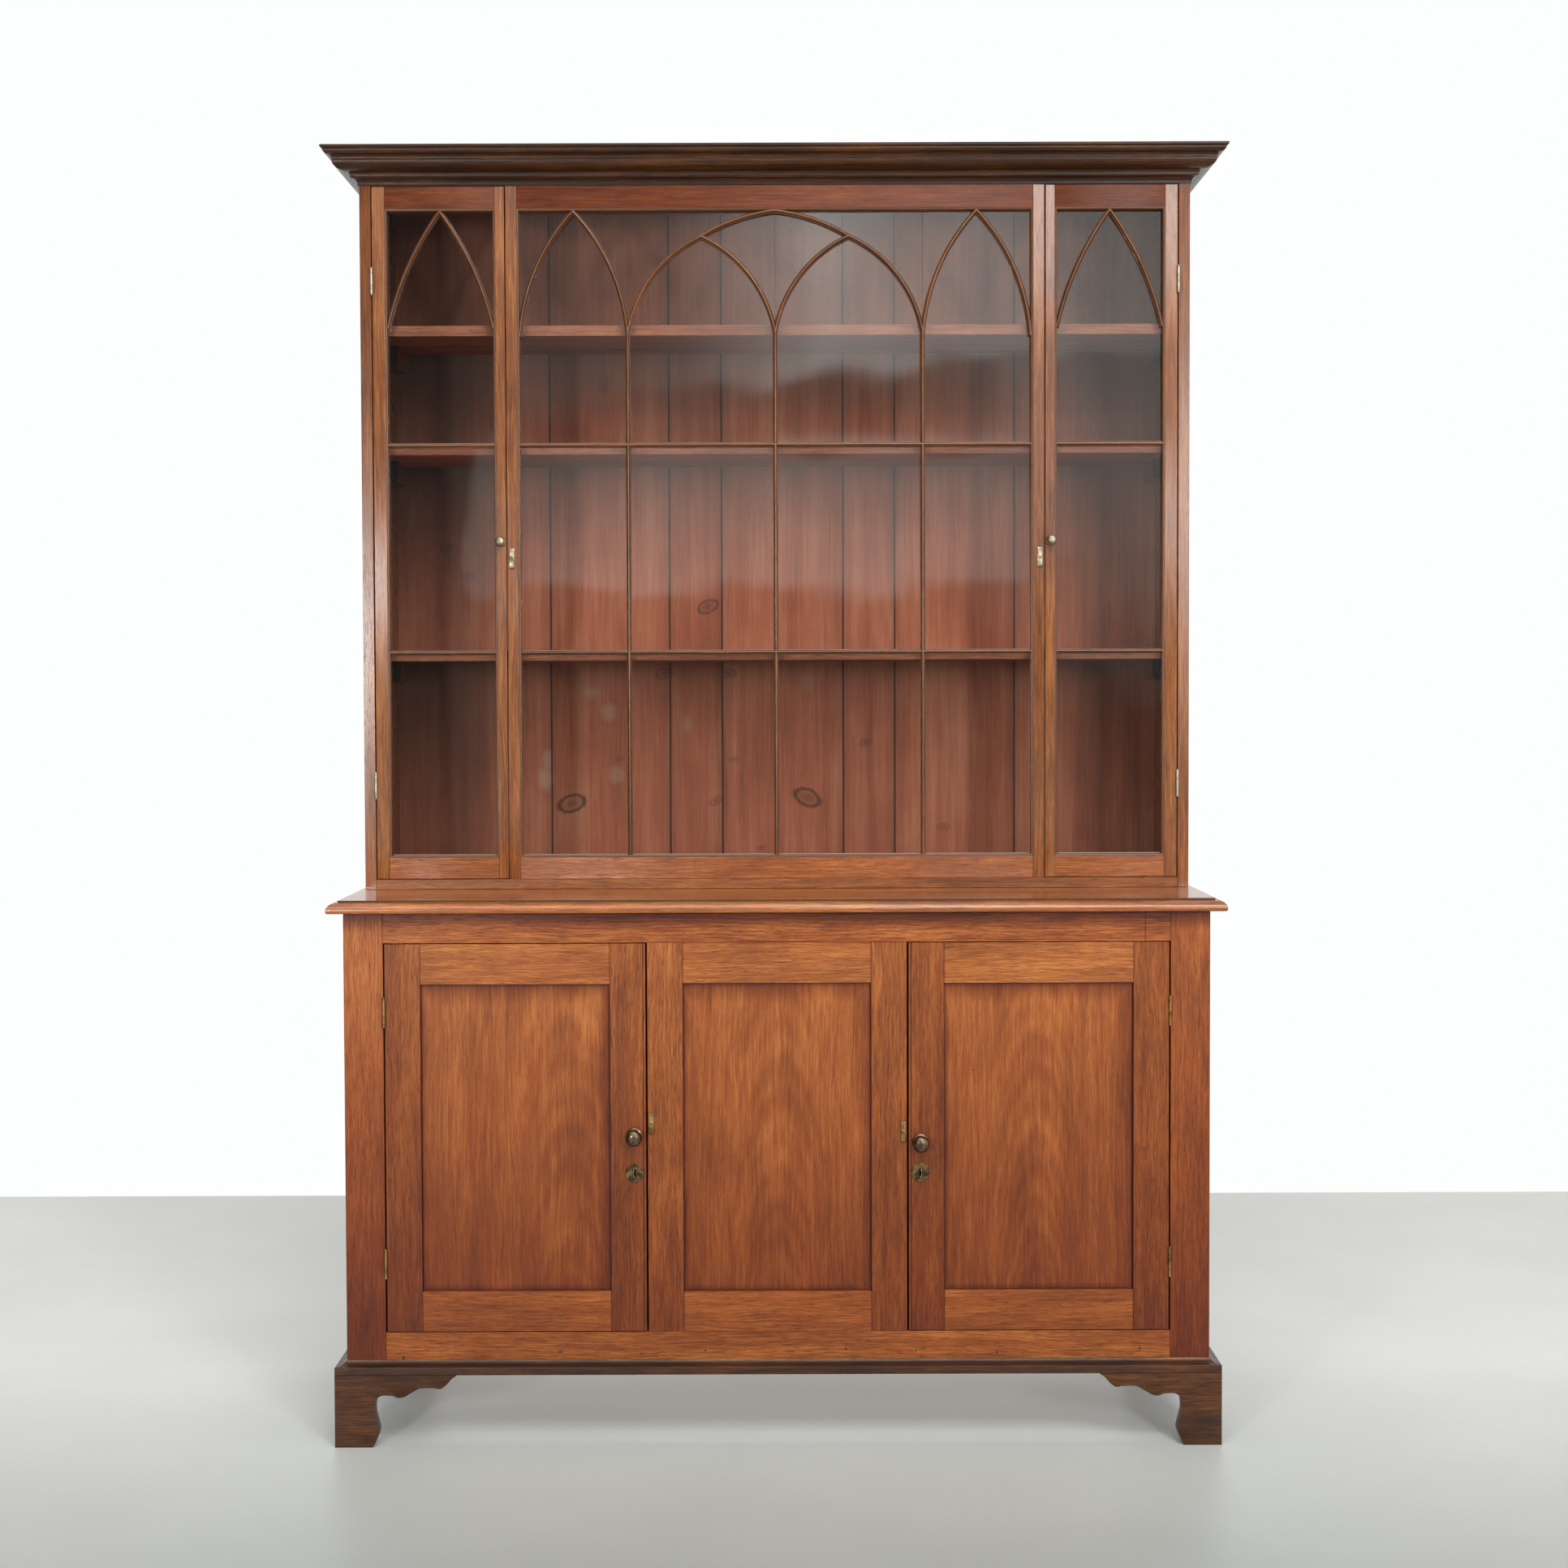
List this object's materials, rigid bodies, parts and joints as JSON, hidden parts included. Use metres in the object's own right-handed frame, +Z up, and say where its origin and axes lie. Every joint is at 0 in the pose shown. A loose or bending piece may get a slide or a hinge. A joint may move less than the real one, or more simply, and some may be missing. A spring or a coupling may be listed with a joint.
{
  "type": "glazed library bookcase",
  "caption": "Two-part glazed bookcase with Gothic glazing bars on a panelled cupboard base with bracket feet, hinged doors, turn catches and locks.",
  "frame": {"origin": "under the middle of the whole piece, on the floor, halfway between the front of the cupboard knobs and the back boards", "axes": "+Z up, +X to the right as seen from the front, the doors face -Y"},
  "size_m": [1.62, 0.549, 2.2848],
  "materials": {
    "mahogany": "waxed, mid orange-brown",
    "dark_mahogany": "dark stained and polished",
    "stained_pine": "thin red-brown stain, dry",
    "glass": "clear old window glass",
    "brass": "aged, partly dull",
    "bronze": "dark patinated, polished by use",
    "iron": "plain dark iron"
  },
  "bodies": {
    "root": {"base_back": "stained_pine", "base_bottom": "stained_pine", "base_bottom_rail": "mahogany", "base_centre_frame": "mahogany", "base_centre_panel": "mahogany", "base_hinge_left_high": "brass", "base_hinge_left_low": "brass", "base_hinge_right_high": "brass", "base_hinge_right_low": "brass", "base_shelf": "stained_pine", "base_side_left": "mahogany", "base_side_right": "mahogany", "base_stile_left": "mahogany", "base_stile_right": "mahogany", "base_top": "mahogany", "base_top_rail": "mahogany", "case_back": "stained_pine", "case_bottom": "mahogany", "case_centre_frame": "mahogany", "case_centre_glass": "glass", "case_hinge_left_high": "brass", "case_hinge_left_low": "brass", "case_hinge_right_high": "brass", "case_hinge_right_low": "brass", "case_side_left": "mahogany", "case_side_right": "mahogany", "case_top": "mahogany", "cornice": "dark_mahogany", "foot_front_left": "dark_mahogany", "foot_front_right": "dark_mahogany", "foot_rear_left": "dark_mahogany", "foot_rear_right": "dark_mahogany", "plinth_moulding": "dark_mahogany", "shelf_lower": "mahogany", "shelf_middle": "mahogany", "shelf_upper": "mahogany"},
    "cupboard_door_left": {"base_door_left_frame": "mahogany", "base_door_left_panel": "mahogany", "base_door_left_knob": "bronze", "escutcheon_left": "brass", "lock_case_left": "iron"},
    "lock_bolt_left": {"lock_bolt_left": "brass"},
    "glazed_door_left": {"glass_door_left_frame": "mahogany", "glass_door_left_glass": "glass", "glass_door_left_knob": "brass"},
    "upper_catch_left": {"upper_catch_left": "brass"},
    "lower_catch_left": {"lower_catch_left": "brass"},
    "cupboard_door_right": {"base_door_right_frame": "mahogany", "base_door_right_panel": "mahogany", "base_door_right_knob": "bronze", "escutcheon_right": "brass", "lock_case_right": "iron"},
    "lock_bolt_right": {"lock_bolt_right": "brass"},
    "glazed_door_right": {"glass_door_right_frame": "mahogany", "glass_door_right_glass": "glass", "glass_door_right_knob": "brass"},
    "upper_catch_right": {"upper_catch_right": "brass"},
    "lower_catch_right": {"lower_catch_right": "brass"}
  },
  "joints": [
    {"name": "cupboard_door_left_swing", "type": "hinge", "parent": "root", "child": "cupboard_door_left", "pos_m": [-0.68075, -0.2437, 0.5355], "axis": [0, 0, -1], "range_deg": [0, 165]},
    {"name": "lock_bolt_left_slide", "type": "slide", "parent": "cupboard_door_left", "child": "lock_bolt_left", "axis": [1, 0, 0], "range_m": [0, 0.008]},
    {"name": "glazed_door_left_swing", "type": "hinge", "parent": "root", "child": "glazed_door_left", "pos_m": [-0.729, -0.0137, 1.59555], "axis": [0, 0, -1], "range_deg": [0, 165]},
    {"name": "cupboard_door_right_swing", "type": "hinge", "parent": "root", "child": "cupboard_door_right", "pos_m": [0.68075, -0.2437, 0.5355], "axis": [0, 0, 1], "range_deg": [0, 165]},
    {"name": "lock_bolt_right_slide", "type": "slide", "parent": "cupboard_door_right", "child": "lock_bolt_right", "axis": [-1, 0, 0], "range_m": [0, 0.008]},
    {"name": "glazed_door_right_swing", "type": "hinge", "parent": "root", "child": "glazed_door_right", "pos_m": [0.729, -0.0137, 1.59555], "axis": [0, 0, 1], "range_deg": [0, 165]},
    {"name": "upper_catch_left_turn", "type": "hinge", "parent": "root", "child": "upper_catch_left", "pos_m": [-0.479, -0.0105, 1.5513], "axis": [0, 1, 0], "continuous": true},
    {"name": "lower_catch_left_turn", "type": "hinge", "parent": "root", "child": "lower_catch_left", "pos_m": [-0.2185, -0.2405, 0.561], "axis": [0, 1, 0], "continuous": true},
    {"name": "upper_catch_right_turn", "type": "hinge", "parent": "root", "child": "upper_catch_right", "pos_m": [0.479, -0.0105, 1.5513], "axis": [0, 1, 0], "continuous": true},
    {"name": "lower_catch_right_turn", "type": "hinge", "parent": "root", "child": "lower_catch_right", "pos_m": [0.2185, -0.2405, 0.545], "axis": [0, 1, 0], "continuous": true}
  ]
}
